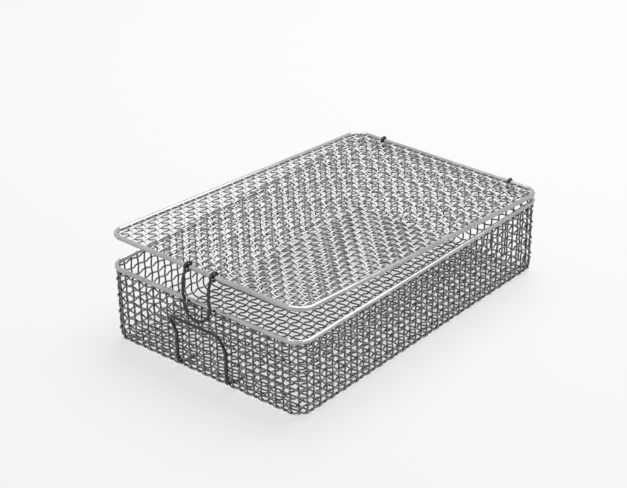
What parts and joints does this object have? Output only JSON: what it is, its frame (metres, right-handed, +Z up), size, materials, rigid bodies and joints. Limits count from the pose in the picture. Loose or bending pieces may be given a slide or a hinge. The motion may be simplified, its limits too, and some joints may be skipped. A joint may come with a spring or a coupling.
{
  "type": "autoclave basket",
  "caption": "Rectangular open-mesh wire tray with a rear-hinged mesh lid and a front swing latch, for holding instruments during steam sterilising.",
  "frame": {"origin": "centre of the base, on the plane it stands on", "axes": "+Z up; +Y along the length, from the latch at the front to the hinges at the back; +X across the width"},
  "size_m": [0.1632, 0.2655, 0.0811],
  "materials": {
    "mesh_wire": "polished",
    "frame_rod": "polished",
    "bent_wire": "polished"
  },
  "bodies": {
    "basket": {"basket_mesh": "mesh_wire", "basket_rim": "frame_rod", "catch_wire": "bent_wire", "hinge_ring_left": "bent_wire", "hinge_ring_right": "bent_wire"},
    "lid": {"lid_rim": "frame_rod", "lid_mesh": "mesh_wire"},
    "latch": {"latch_loop": "bent_wire"}
  },
  "joints": [
    {"name": "lid_hinge", "type": "hinge", "parent": "basket", "child": "lid", "pos_m": [0, 0.1266, 0.0594], "axis": [-1, 0, 0], "range_deg": [-3.84, 176]},
    {"name": "latch_swing", "type": "hinge", "parent": "lid", "child": "latch", "pos_m": [0, -0.12547, 0.0772], "axis": [-1, 0, 0], "range_deg": [0, 200]}
  ]
}
